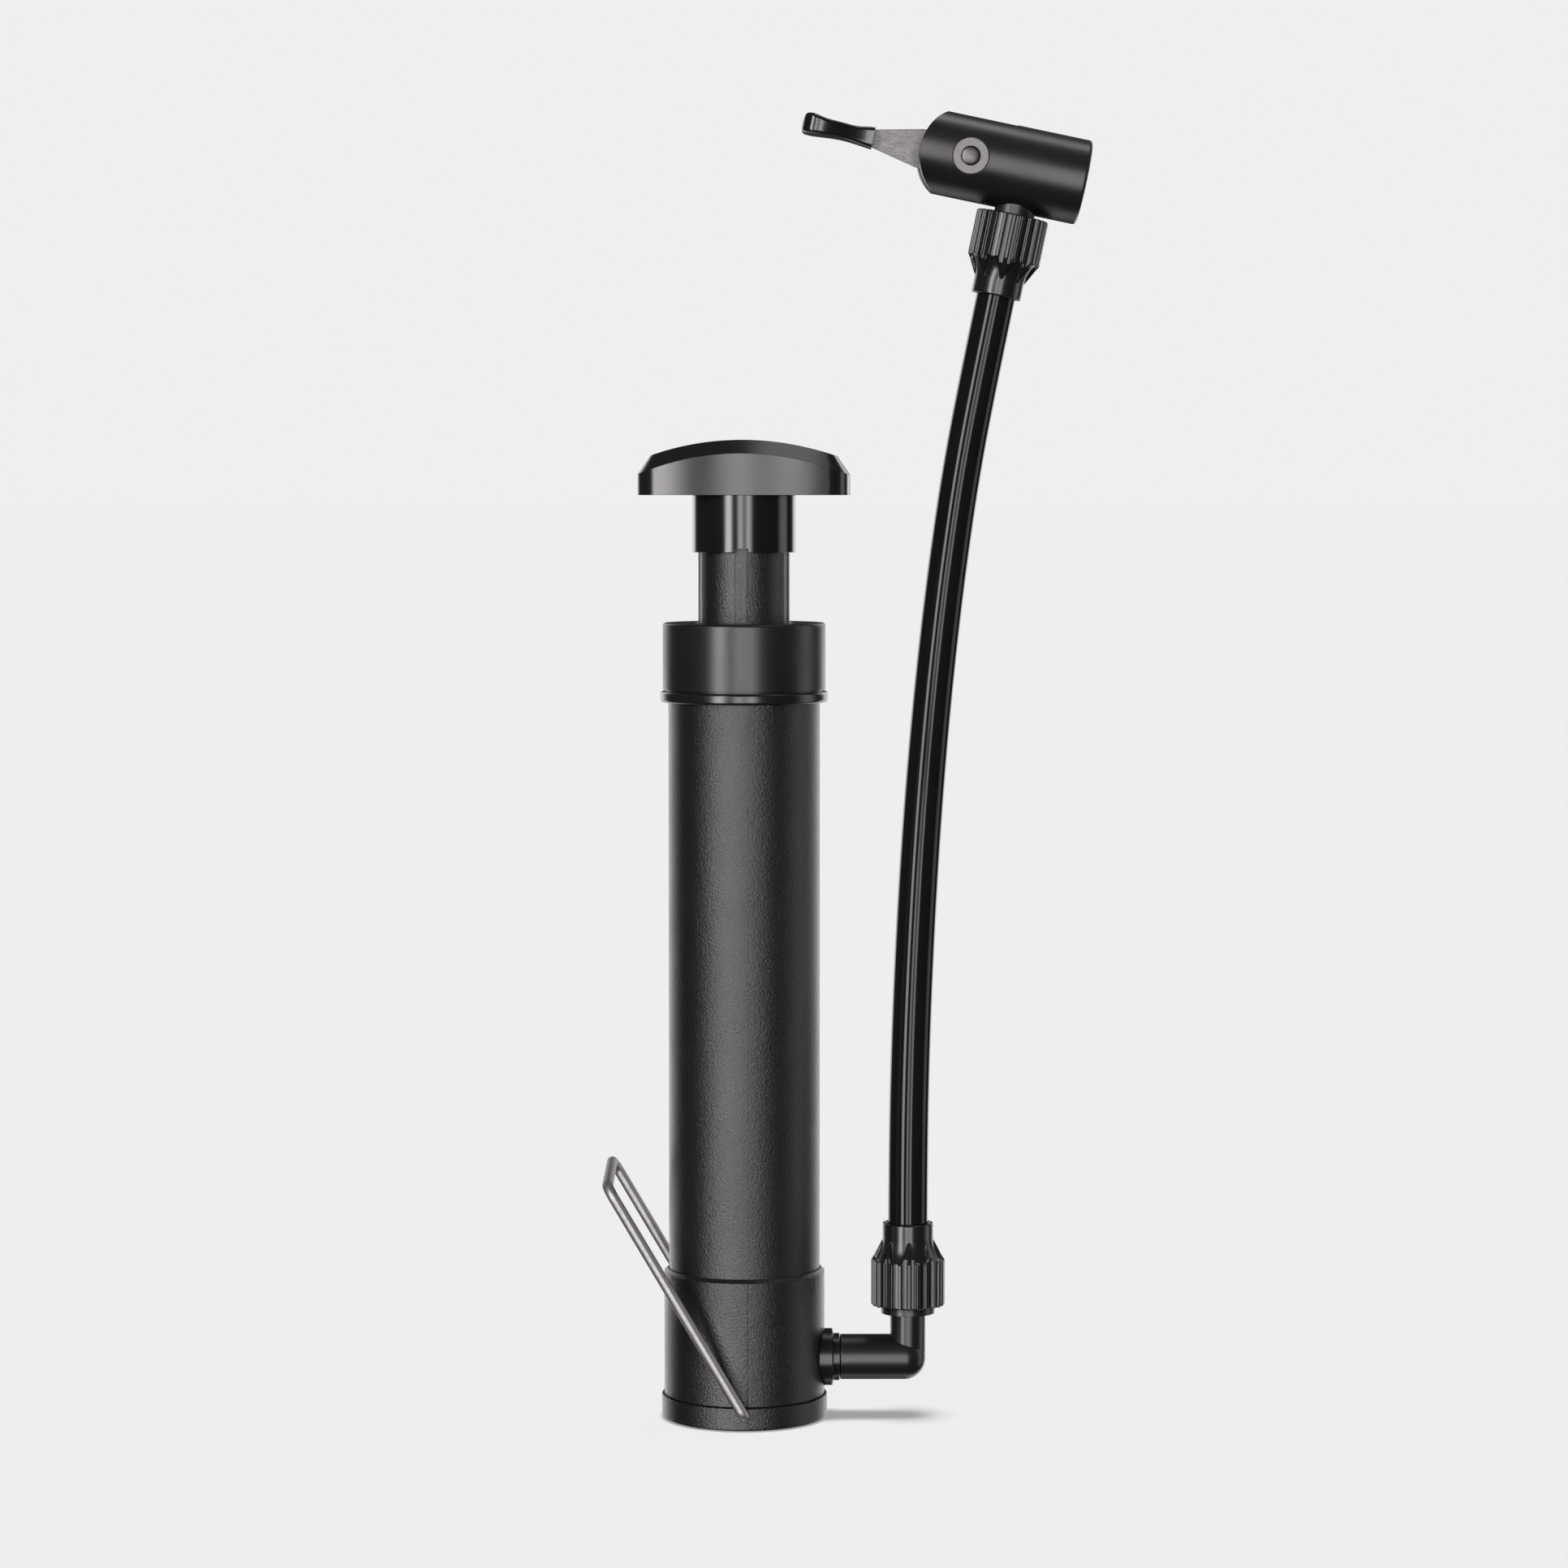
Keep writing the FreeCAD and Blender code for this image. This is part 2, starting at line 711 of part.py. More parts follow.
def stem_collar():
    bore = S.stem_radius + S.clearance
    sleeve = turned("sleeve_blank", ring_outline(bore, S.sleeve_radius, S.sleeve_bottom, S.handle_bottom))
    softened(sleeve, "Fillet", 0.2, (S.sleeve_radius, S.sleeve_bottom))
    half = S.key_width / 2
    notch = block("sleeve_notch", (-half - 0.6, -S.sleeve_radius - 1, S.sleeve_bottom - 1),
                  (half - 0.6, -S.stem_radius + 1, S.sleeve_bottom + 1.0))
    node(cut("stem_collar", sleeve, notch), "stem_collar")


def handle_plan(name, inset, bottom, height):
    """The handle's plan, thickened: wide side arcs and flatter end arcs with rounded corners."""
    side = S.handle_side_radius - inset
    end = S.handle_end_radius - inset
    side_centre = S.handle_side_radius - S.handle_half_width
    end_centre = S.handle_end_radius - S.handle_half_length
    discs = []
    for sign in (1, -1):
        discs.append(rod(f"{name}_side", side, height, (0, side_centre * sign, bottom)))
        discs.append(rod(f"{name}_end", end, height, (end_centre * sign, 0, bottom)))
    lens = joined("Part::MultiCommon", f"{name}_lens", *discs)
    return rounded(name, lens, S.handle_corner_radius - inset, is_corner)


def is_corner(edge):
    """Upright edges away from the two middle planes."""
    box = edge.BoundBox
    return box.ZLength > 1 and box.XLength + box.YLength < 0.01 and min(abs(box.XMax), abs(box.YMax)) > 1


def is_upper_rim(edge):
    """Edges round the handle's arched top."""
    box = edge.BoundBox
    return box.ZMin > S.handle_bottom + 3 and box.XLength + box.YLength > 1


def handle_shell():
    blank = handle_plan("handle_blank", 0.0, S.handle_bottom, S.handle_height + 2)
    top = S.handle_bottom + S.handle_height
    arch = rod_y("handle_arch", S.handle_arch, S.handle_half_width + 5, 0, top - S.handle_arch)
    arched = joined("Part::MultiCommon", "handle_arched", blank, arch)
    doc.recompute()
    bevel = doc.addObject("Part::Chamfer", "handle_bevel")
    bevel.Base = arched
    bevel.Edges = [(index, float(S.handle_bevel), float(S.handle_bevel))
                   for index, edge in enumerate(arched.Shape.Edges, start=1) if is_upper_rim(edge)]
    bottom = S.handle_bottom
    hollow = handle_plan("handle_hollow", S.handle_wall, bottom - 1, S.handle_hollow + 1)
    boss = rod("handle_boss", S.handle_boss_radius, S.handle_hollow, (0, 0, bottom))
    rib = block("handle_rib", (-25, -0.9, bottom + 0.5), (25, 0.9, bottom + S.handle_hollow))
    depth = S.stem_top + 0.1 - bottom + 1
    socket = rod("handle_socket", S.stem_radius + S.clearance, depth, (0, 0, bottom - 1))
    pin_reach = S.handle_boss_radius - 0.8
    pin_hole = rod_y("handle_pin_hole", S.pin_radius + S.clearance, pin_reach, 0, S.pin_height)
    shell = cut("handle_open", bevel, cut("handle_pockets", hollow, boss, rib))
    node(with_stem("handle_turned", cut("handle_drilled", shell, socket, pin_hole)), "handle_shell")
    pin = rod_y("cross_pin", S.pin_radius, S.handle_boss_radius - 1, 0, S.pin_height)
    node(with_stem("handle_pin", pin), "handle_pin")


# ---- outlet, elbow and hose ---------------------------------------------------------------------------


def outlet_flange():
    flange = turned("outlet_flange", [
        (S.outlet_bore, 14.5),
        (5.5, 14.5),
        (5.5, S.flange_seat),
        (S.flange_radius, S.flange_seat),
        (S.flange_radius, S.flange_face),
        (5.9, S.flange_face),
        (5.9, S.flange_collar),
        (S.outlet_bore, S.flange_collar),
    ])
    softened(flange, "Fillet", 0.45, (S.flange_radius, S.flange_face))
    node(placed(flange, (0, 0, S.outlet_height), (0, 1, 0), 90), "outlet_flange")


def is_ring_at(edge, x):
    return isinstance(edge.Curve, Part.Circle) and abs(edge.Curve.Center.x - float(x)) < 0.1


def swivel_elbow():
    """Spigot in the flange, a wide tube with a domed end and a thinner leg up to the lower hose nut."""
    z = S.outlet_height
    start = S.flange_collar + S.elbow_play
    spigot = turned("elbow_spigot", [
        (S.air_radius, 12),
        (3.8, 12),
        (3.8, 13.4),
        (2.85, 13.4),
        (2.85, 14.3),
        (3.8, 14.3),
        (3.8, 17),
        (2.5, 17),
        (2.5, 18.3),
        (3.8, 18.3),
        (3.8, start + 1),
        (S.air_radius, start + 1),
    ])
    placed(spigot, (0, 0, z), (0, 1, 0), 90)
    end = S.leg_axis + S.leg_radius
    tube = rod_x("elbow_tube", S.elbow_radius, start, end, 0, z)
    domed = rounded("elbow_dome", tube, S.elbow_radius - 0.3, lambda edge: is_ring_at(edge, end))
    eased = rounded("elbow_rim", domed, 0.35, lambda edge: is_ring_at(edge, start))
    leg = turned("elbow_leg", [
        (0, z),
        (S.leg_radius, z),
        (S.leg_radius, S.leg_flange_bottom),
        (S.leg_flange_radius, S.leg_flange_bottom),
        (S.leg_flange_radius, S.boss_bottom),
        (S.boss_radius, S.boss_bottom),
        (S.boss_radius, S.boss_top),
        (S.barb_radius, S.boss_top),
        (S.barb_radius, S.boss_top + S.barb_length),
        (0, S.boss_top + S.barb_length),
    ])
    placed(leg, (S.leg_axis, 0, 0))
    whole = joined("Part::MultiFuse", "elbow_whole", spigot, eased, leg)
    across = rod_x("elbow_air_in", S.air_radius, 11, S.leg_axis, 0, z)
    upward = rod("elbow_air_up", S.air_radius, S.boss_top + S.barb_length + 1 - z, (S.leg_axis, 0, z))
    node(cut("swivel_elbow", whole, across, upward), "swivel_elbow")


def elbow_seals():
    ring = made("Part::Torus", "elbow_o_ring", Radius1=3.15, Radius2=0.62)
    node(placed(ring, (17.65, 0, S.outlet_height), (0, 1, 0), 90), "elbow_o_ring")
    clip = turned("clip_blank", ring_outline(2.9, 5.0, 0, 0.8))
    doc.recompute()
    gap = block("clip_gap", (-2.0, -6, -1), (2.0, 0, 2))
    node(placed(cut("elbow_clip", clip, gap), (13.45, 0, S.outlet_height), (0, 1, 0), 90), "elbow_clip")


def hose_nut(name):
    """Ribbed nut with its wide end at Z = 0: grooves round the wide part and fins over the cone."""
    body = turned(name, [
        (S.nut_thread_bore, 0),
        (S.nut_radius, 0),
        (S.nut_radius, S.nut_rib_length),
        (S.nut_cone_radius, S.nut_cone_end),
        (S.nut_neck_radius, S.nut_cone_end + 0.3),
        (S.nut_neck_radius, S.nut_length),
        (S.hose_radius + S.clearance, S.nut_length),
        (S.hose_radius + S.clearance, S.nut_thread_length),
        (S.nut_thread_bore, S.nut_thread_length),
    ])
    softened(body, "Fillet", 0.3, (S.nut_neck_radius, S.nut_length))
    groove = sketch_on(body, "XY_Plane", f"{name}_groove")
    half = S.nut_groove_width / 2
    floor = S.nut_radius - S.nut_groove_depth
    far = S.nut_radius + 1
    polygon(groove, [(floor, -half), (far, -half), (far, half), (floor, half)])
    pocket = add_pocket(body, groove, f"{name}_groove_cut")
    around(body, pocket, f"{name}_grooves", S.nut_ribs)
    body.Placement = FreeCAD.Placement(V(0, 0, 0), FreeCAD.Rotation(V(0, 0, 1), 7.5))
    fins = doc.addObject("PartDesign::Body", f"{name}_fin")
    fin = sketch_on(fins, "XZ_Plane", f"{name}_fin_outline")
    root = S.hose_radius + 0.6
    polygon(fin, [
        (root, S.nut_rib_length - 1.5),
        (S.nut_radius - 0.12, S.nut_rib_length - 1.5),
        (S.nut_radius - 0.12, S.nut_rib_length + 1.3),
        (S.nut_neck_radius + 0.15, S.nut_cone_end + 2.2),
        (root, S.nut_cone_end + 1.2),
    ])
    pad = add_pad(fins, fin, f"{name}_fin_pad", S.nut_fin_width)
    fins.AllowCompound = True
    around(fins, pad, f"{name}_fin_ring", S.nut_fins)
    return joined("Part::MultiFuse", f"{name}_whole", body, fins)


def hose_nuts():
    lower = hose_nut("lower_nut")
    node(placed(lower, (S.leg_axis, 0, S.nut_bottom)), "hose_nut_lower")
    upper = hose_nut("upper_nut")
    spot = (S.branch_x, 0, -S.upper_nut_start)
    flipped = placed(group("upper_nut_flipped", upper), spot, (1, 0, 0), 180)
    node(in_head_frame("hose_nut_upper", flipped), "hose_nut_upper")


def hose_path():
    """Straight runs joined by tangent arcs, and the arcs' radii."""
    points = [V(*point) for point in HOSE_ROUTE]
    edges = []
    radii = []
    last = points[0]
    for before, here, after in zip(points, points[1:], points[2:]):
        back = (before - here).normalize()
        ahead = (after - here).normalize()
        turn = math.pi - back.getAngle(ahead)
        reach = ARC_SHARE * min((before - here).Length, (after - here).Length)
        radius = reach / math.tan(turn / 2)
        start = here + back * reach
        end = here + ahead * reach
        inward = (back + ahead).normalize()
        depth = radius / math.cos(turn / 2) - radius
        edges.append(Part.LineSegment(last, start).toShape())
        edges.append(Part.Arc(start, here + inward * depth, end).toShape())
        radii.append(radius)
        last = end
    edges.append(Part.LineSegment(last, points[-1]).toShape())
    return Part.Wire(edges), radii


def hose():
    path, radii = hose_path()
    along = (V(*HOSE_ROUTE[1]) - V(*HOSE_ROUTE[0])).normalize()
    tubes = []
    for radius in (S.hose_radius, S.hose_bore):
        ring = Part.Wire([Part.Circle(V(*HOSE_ROUTE[0]), along, float(radius)).toShape()])
        tubes.append(path.makePipeShell([ring], True, False))
    thing = doc.addObject("Part::Feature", "hose")
    thing.Shape = tubes[0].cut(tubes[1])
    section = math.pi * (S.hose_radius * S.hose_radius - S.hose_bore * S.hose_bore)
    print("hose arc radii:", ", ".join(f"{radius:.0f}" for radius in radii))
    print(f"hose length {path.Length:.1f}, volume {thing.Shape.Volume:.1f},",
          f"section times length {section * path.Length:.1f}")
    node(thing, "hose")


# ---- valve head, in its own frame ---------------------------------------------------------------------


def in_head_frame(name, thing):
    """Carry an object from the valve head's own frame to its place."""
    moved = group(name, thing)
    return placed(moved, (S.head_x, S.head_y, S.head_z), (0, 1, 0), S.head_tilt)


def valve_head():
    barrel = turned("head_blank", [
        (-S.head_nose, 0),
        (-S.head_nose, S.head_radius),
        (S.head_end, S.head_radius),
        (S.head_end, S.mouth_bore),
        (S.mouth_start, S.mouth_bore),
        (S.mouth_start, S.head_bore),
        (S.head_bore_start, S.head_bore),
        (S.head_bore_start, 0),
    ], "H_Axis")
    rimmed = rounded("head_rim", barrel, 0.9, lambda edge: isinstance(edge.Curve, Part.Circle)
                     and abs(edge.Curve.Radius - S.head_radius) < 0.01 and edge.Curve.Center.x > 20)
    nose = rod_y("head_nose", S.head_nose, S.head_radius + 1)
    rest = block("head_rest", (0, -S.head_radius - 1, -S.head_radius - 3),
                 (S.head_end + 1, S.head_radius + 1, S.head_radius + 3))
    shaped = joined("Part::MultiCommon", "head_shaped", rimmed,
                    joined("Part::MultiFuse", "head_limits", nose, rest))
    branch = turned("head_branch", [
        (0, -7.5),
        (S.branch_radius, -7.5),
        (S.branch_radius, -S.branch_bottom),
        (S.boss_radius, -S.branch_bottom),
        (S.boss_radius, -S.branch_boss_end),
        (S.barb_radius, -S.branch_boss_end),
        (S.barb_radius, -S.branch_boss_end - S.barb_length),
        (0, -S.branch_boss_end - S.barb_length),
    ])
    placed(branch, (S.branch_x, 0, 0))
    whole = joined("Part::MultiFuse", "head_whole", shaped, branch)
    slot = block("head_slot", (-S.head_nose - 1, -S.slot_half_width, -S.head_radius - 1),
                 (S.slot_end, S.slot_half_width, S.head_radius + 1))
    tools = [
        slot,
        rod_x("head_bore_again", S.head_bore, S.head_bore_start, S.mouth_start),
        rod_y("head_pin_hole", S.pivot_radius + S.clearance, S.head_radius + 1),
        rod("head_air", S.air_radius, S.branch_boss_end + S.barb_length + 1,
            (S.branch_x, 0, -S.branch_boss_end - S.barb_length - 1)),
    ]
    for side in (1, -1):
        start = S.spotface_level if side > 0 else -S.spotface_level - 3
        tools.append(rod("head_spotface", S.spotface_radius, 3, (0, start, 0), (1, 0, 0), -90))
    node(in_head_frame("valve_head", cut("head_cut", whole, *tools)), "valve_head")


def pivot_group():
    pin = rod_y("pin_blank", S.pivot_radius, S.pivot_half_length)
    eased = rounded("pin_eased", pin, 0.4, lambda edge: isinstance(edge.Curve, Part.Circle))
    node(in_head_frame("pivot_pin", eased), "pivot_pin")
    washers = []
    radius = S.spotface_radius - S.clearance
    face = S.spotface_level + S.washer_thickness
    outline = ring_outline(S.pivot_radius + S.clearance, radius, S.spotface_level, face)
    for side in (1, -1):
        washer = turned("pivot_washer", outline)
        softened(washer, "Fillet", 0.2, (radius, face))
        washers.append(placed(washer, (0, 0, 0), (1, 0, 0), -90 * side))
    node(in_head_frame("pivot_washers", group("washer_pair", *washers)), "pivot_washers")


def lock_lever():
    """Steel plate: a thick eccentric cam on the pivot, a tapering arm and a thin tang for the grip."""
    arm = padded("lever_arm", "XZ_Plane", [
        (0, 5.6),
        (-13, 4.9),
        (-24.8, 2.3),
        (-24.9, 1.2),
        (-38.6, 0.9),
        (-38.6, -0.8),
        (-24.9, -1.1),
        (-24.8, -2.3),
        (-13, -4.9),
        (0, -5.6),
    ], S.lever_half_width * 2)
    cam = rod_y("lever_cam", S.cam_radius, S.cam_half_width, S.cam_offset)
    hole = rod_y("lever_hole", S.pivot_radius + S.clearance, S.cam_half_width + 1)
    lever = cut("lever_cut", joined("Part::MultiFuse", "lever_whole", arm, cam), hole)
    node(in_head_frame("lock_lever", lever), "lock_lever")


def curve_through(points):
    curve = Part.BSplineCurve()
    curve.interpolate([V(*point) for point in points])
    return curve.toShape()


def grip_side():
    """Side view of the grip, thickened: deepest at its two ends, with a long shallow waist."""
    tip = [(-42.9, -2.3), (-43.4, 0), (-42.9, 2.6)]
    top = [tip[-1], (-41, 2.85), (-38.5, 2.35), (-34, 2.1), (-29.5, 2.05), (-26.5, 2.55), (-24.9, 2.7)]
    under = [(-24.9, -2.7), (-27.2, -2.45), (-30.5, -2.05), (-35, -1.9), (-39.5, -2.2), tip[0]]
    tip, top, under = ([(x, 0, z) for x, z in side] for side in (tip, top, under))
    end = Part.LineSegment(V(*top[-1]), V(*under[0])).toShape()
    outline = Part.Wire([curve_through(tip), curve_through(top), end, curve_through(under)])
    return Part.Face(outline).extrude(V(0, 16, 0)).translated(V(0, -8, 0))


def grip_plan():
    """Top view of the grip, thickened: widest under the thumb, narrow at the plate."""
    side = [(-24.9, 3.4), (-29.5, 4.0), (-34, 5.1), (-38, 6.0), (-41, 5.9), (-43, 4.0)]
    left = [(x, y, 0) for x, y in side]
    right = [(x, -y, 0) for x, y in reversed(side)]
    tip = Part.Arc(V(*left[-1]), V(-43.7, 0, 0), V(*right[0])).toShape()
    end = Part.LineSegment(V(*right[-1]), V(*left[0])).toShape()
    outline = Part.Wire([curve_through(left), tip, curve_through(right), end])
    return Part.Face(outline).extrude(V(0, 0, 12)).translated(V(0, 0, -6))


def lever_grip():
    """Moulded thumb grip, rounded all over but for the end that meets the plate."""
    rough = grip_side().common(grip_plan())
    edges = [edge for edge in rough.Edges if edge.BoundBox.XMin < -25.2 and
             (edge.BoundBox.XLength > 0.5 or edge.BoundBox.XMax < -40)]
    blank = doc.addObject("Part::Feature", "grip_blank")
    blank.Shape = rough.makeFillet(1.0, edges)
    tang = padded("grip_tang_room", "XZ_Plane", [
        (-24, 1.3),
        (-38.7, 1.0),
        (-38.7, -0.9),
        (-24, -1.2),
    ], S.lever_half_width * 2 + 0.1)
    node(in_head_frame("lever_grip", cut("grip_cut", blank, tang)), "lever_grip")


def head_inner_parts():
    body = turned("plunger_round", [
        (S.plunger_back, 0),
        (S.plunger_back, S.plunger_radius),
        (S.plunger_back + 2, S.plunger_radius),
        (S.plunger_back + 2, 5),
        (S.plunger_front - 2.2, 5),
        (S.plunger_front - 2.2, S.plunger_radius),
        (S.plunger_front, S.plunger_radius),
        (S.plunger_front, 0),
    ], "H_Axis")
    tongue = block("plunger_tongue", (S.tongue_back, -2.5, -5.0), (S.plunger_back + 1, 2.5, 5.0))
    whole = joined("Part::MultiFuse", "plunger_whole", body, tongue)
    air = rod_x("plunger_air", S.air_radius, S.branch_x + 1.5, S.plunger_front + 1)
    cross = rod("plunger_cross", S.air_radius, 12, (S.branch_x + 1.6, 0, -6))
    node(in_head_frame("clamp_plunger", cut("plunger_cut", whole, air, cross)), "clamp_plunger")
    grommet = turned("grommet_ring", [
        (S.grommet_start, S.grommet_bore),
        (S.grommet_start, S.head_bore - S.clearance),
        (S.mouth_start - S.clearance, S.head_bore - S.clearance),
        (S.mouth_start - S.clearance, S.grommet_bore),
    ], "H_Axis")
    node(in_head_frame("valve_grommet", grommet), "valve_grommet")
    retainer = turned("retainer_ring", [
        (S.mouth_start, S.retainer_bore),
        (S.mouth_start, S.mouth_bore - S.clearance),
        (S.retainer_end, S.mouth_bore - S.clearance),
        (S.retainer_end, S.retainer_bore + 0.9),
        (S.retainer_end - 0.9, S.retainer_bore),
    ], "H_Axis")
    node(in_head_frame("grommet_retainer", retainer), "grommet_retainer")


# ---- build, check and write ---------------------------------------------------------------------------


def check(everything, finished):
    """Stop on any failed object or on a sub-part whose shape is empty or not valid."""
    for thing in everything:
        if {"Invalid", "Error"} & set(thing.State):
            raise RuntimeError(f"{thing.Name} ({thing.Label}) failed: {thing.State}")
    for thing in finished:
        shape = thing.Shape
        if shape.isNull() or not shape.isValid() or not shape.Solids:
            raise RuntimeError(f"{thing.Label} has no valid solid")
        print(f"{thing.Label}: {len(shape.Solids)} solid(s), {shape.Volume:.1f} mm3")


BUILD_ORDER = (
    foot_pad, foot_cap, foot_cap_screws, base_housing, foot_stand,
    barrel_group, top_cap, rod_guides, check_valve, check_spring,
    stem_tube, piston_group, stem_collar, handle_shell,
    outlet_flange, swivel_elbow, elbow_seals, hose_nuts, hose,
    valve_head, pivot_group, lock_lever, lever_grip, head_inner_parts,
)
for build in BUILD_ORDER:
    build()
doc.recompute()
check(doc.Objects, nodes)
os.makedirs("parts", exist_ok=True)
for thing in nodes:
    thing.Shape.exportStep(f"parts/{thing.Label}.step")
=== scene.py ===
import json
import math

import bpy
from mathutils import Matrix, Vector


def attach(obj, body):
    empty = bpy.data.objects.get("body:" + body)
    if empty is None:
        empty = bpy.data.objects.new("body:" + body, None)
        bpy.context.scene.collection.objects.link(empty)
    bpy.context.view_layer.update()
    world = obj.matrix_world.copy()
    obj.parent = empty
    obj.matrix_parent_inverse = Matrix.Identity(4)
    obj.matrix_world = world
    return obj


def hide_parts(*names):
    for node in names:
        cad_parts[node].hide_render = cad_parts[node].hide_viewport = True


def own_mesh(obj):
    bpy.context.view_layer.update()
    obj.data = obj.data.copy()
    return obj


# Looks of the hand pump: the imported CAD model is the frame, and this script adds the camera, the hose's
# smooth line, the ribbed hose nuts, the domed pin, the spring, the materials and the studio light.
# Everything is in metres, except the nuts' and the pin's outlines, which are in millimetres.

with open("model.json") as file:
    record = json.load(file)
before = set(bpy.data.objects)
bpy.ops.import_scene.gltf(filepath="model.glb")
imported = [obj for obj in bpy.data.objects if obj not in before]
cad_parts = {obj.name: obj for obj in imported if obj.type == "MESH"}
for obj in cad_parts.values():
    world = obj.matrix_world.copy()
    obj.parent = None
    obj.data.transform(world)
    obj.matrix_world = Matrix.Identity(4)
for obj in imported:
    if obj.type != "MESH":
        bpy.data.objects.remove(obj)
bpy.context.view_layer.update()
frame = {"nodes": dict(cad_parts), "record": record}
nodes = frame["nodes"]
MM = 0.001


# ---- camera -------------------------------------------------------------------------------------------

BARREL_TO_CAMERA = 1.1055
EYE_HEIGHT = 0.2330
AIM = Vector((0.0100, 0.0, 0.1711))
FRAME_WIDTH = 0.3936
FRAME_RISE = -0.028


def make_camera():
    """In front of the barrel, a little above its top cap and aimed slightly down."""
    data = bpy.data.cameras.new("camera")
    data.sensor_width = 36
    camera = bpy.data.objects.new("camera", data)
    camera.location = (0, -BARREL_TO_CAMERA, EYE_HEIGHT)
    sight = AIM - camera.location
    data.lens = data.sensor_width * sight.length / FRAME_WIDTH
    data.shift_y = FRAME_RISE
    data.clip_start = 0.01
    data.clip_end = 100
    camera.rotation_euler = sight.to_track_quat("-Z", "Y").to_euler()
    bpy.context.scene.collection.objects.link(camera)
    bpy.context.scene.camera = camera


make_camera()


# ---- hose ---------------------------------------------------------------------------------------------

HOSE_RADIUS = 0.005
POINT_SIZE = 0.005  # the curve's own box is its points grown by this, so it stays as small as the tube
HOSE_ROUTE = [
    (0.0413, 0.0, 0.0379),
    (0.0413, 0.0, 0.0660),
    (0.0420, 0.0024, 0.0950),
    (0.0434, 0.0070, 0.1240),
    (0.0454, 0.0126, 0.1530),
    (0.0481, 0.0182, 0.1820),
    (0.0514, 0.0226, 0.2100),
    (0.0555, 0.0254, 0.2383),
    (0.0608, 0.0260, 0.2660),
    (0.06652, 0.0260, 0.29341),
]


def make_hose():
    """One smooth tube from the lower nut to the upper nut, through the CAD route."""
    curve = bpy.data.curves.new("hose_line", "CURVE")
    curve.dimensions = "3D"
    curve.resolution_u = 16
    curve.bevel_depth = HOSE_RADIUS / POINT_SIZE
    curve.bevel_resolution = 14
    spline = curve.splines.new("NURBS")
    spline.points.add(len(HOSE_ROUTE) - 1)
    for point, place in zip(spline.points, HOSE_ROUTE):
        point.co = (*place, 1.0)
        point.radius = POINT_SIZE
    spline.order_u = 3
    spline.use_endpoint_u = True
    hose = bpy.data.objects.new("hose_smooth", curve)
    bpy.context.scene.collection.objects.link(hose)
    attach(hose, "hose_line")
    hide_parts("hose")
    return hose


hose = make_hose()


# ---- material tools -----------------------------------------------------------------------------------

MIX_COLOUR_A = 6
MIX_COLOUR_B = 7
MIX_COLOUR_RESULT = 2
NOISE_LOW = 0.3
NOISE_HIGH = 0.7


class Graph:
    """A node tree with short calls for the nodes that the materials use."""

    def __init__(self, tree):
        self.tree = tree
        tree.nodes.clear()

    def add(self, kind, inputs=None, **settings):
        node = self.tree.nodes.new(kind)
        for name, value in settings.items():
            setattr(node, name, value)
        for name, value in (inputs or {}).items():
            self.feed(node.inputs[name], value)
        return node

    def feed(self, socket, value):
        if isinstance(value, bpy.types.NodeSocket):
            self.tree.links.new(value, socket)
        else:
            socket.default_value = value

    def math(self, operation, *values):
        return self.add("ShaderNodeMath", dict(enumerate(values)), operation=operation).outputs[0]

    def ramp(self, value, low, high, out_low=0.0, out_high=1.0):
        """Smooth change of a value from one range to another."""
        inputs = {
            "Value": value,
            "From Min": low,
            "From Max": high,
            "To Min": out_low,
            "To Max": out_high,
        }
        return self.add("ShaderNodeMapRange", inputs, interpolation_type="SMOOTHSTEP").outputs["Result"]

    def uneven(self, noise, low, high):
        """A value that wanders between two with a noise."""
        return self.ramp(noise, NOISE_LOW, NOISE_HIGH, low, high)

    def noise(self, place, scale, detail=2.0, roughness=0.5):
        inputs = {"Vector": place, "Scale": scale, "Detail": detail, "Roughness": roughness}
        return self.add("ShaderNodeTexNoise", inputs).outputs["Fac"]

    def colours(self, value, dark, light):
        """A colour between two, on the mix node's colour sockets."""
        mix = self.add("ShaderNodeMix", {"Factor": value}, data_type="RGBA")
        mix.inputs[MIX_COLOUR_A].default_value = (*dark, 1)
        mix.inputs[MIX_COLOUR_B].default_value = (*light, 1)
        return mix.outputs[MIX_COLOUR_RESULT]

    def bump(self, height, strength, distance, normal=None):
        inputs = {"Height": height, "Strength": strength, "Distance": distance}
        if normal is not None:
            inputs["Normal"] = normal
        return self.add("ShaderNodeBump", inputs).outputs["Normal"]


def new_material(name):
    material = bpy.data.materials.new(name)
    material.use_nodes = True
    graph = Graph(material.node_tree)
    place = graph.add("ShaderNodeTexCoord").outputs["Object"]
    return material, graph, place


def finish_material(graph, **inputs):
    """The surface itself, from the shader's sockets by name with _ for each space."""
    sockets = {name.replace("_", " "): value for name, value in inputs.items()}
    shader = graph.add("ShaderNodeBsdfPrincipled", sockets)
    graph.add("ShaderNodeOutputMaterial", {"Surface": shader.outputs["BSDF"]})


def soft_edges(graph, radius):
    """Normals rounded at sharp edges, as on a moulded or tumbled piece."""
    return graph.add("ShaderNodeBevel", {"Radius": radius}, samples=4).outputs["Normal"]


def shade(value):
    """A grey with a slight warm cast."""
    return (value, value * 0.985, value * 0.98)


# ---- materials ----------------------------------------------------------------------------------------

SEAM_AT = 0.7 * MM
SEAM_HALF_WIDTH = 0.16 * MM
SEAM_HEIGHT = 0.1 * MM
BRUSH_STRETCH = (1, 1, 12)


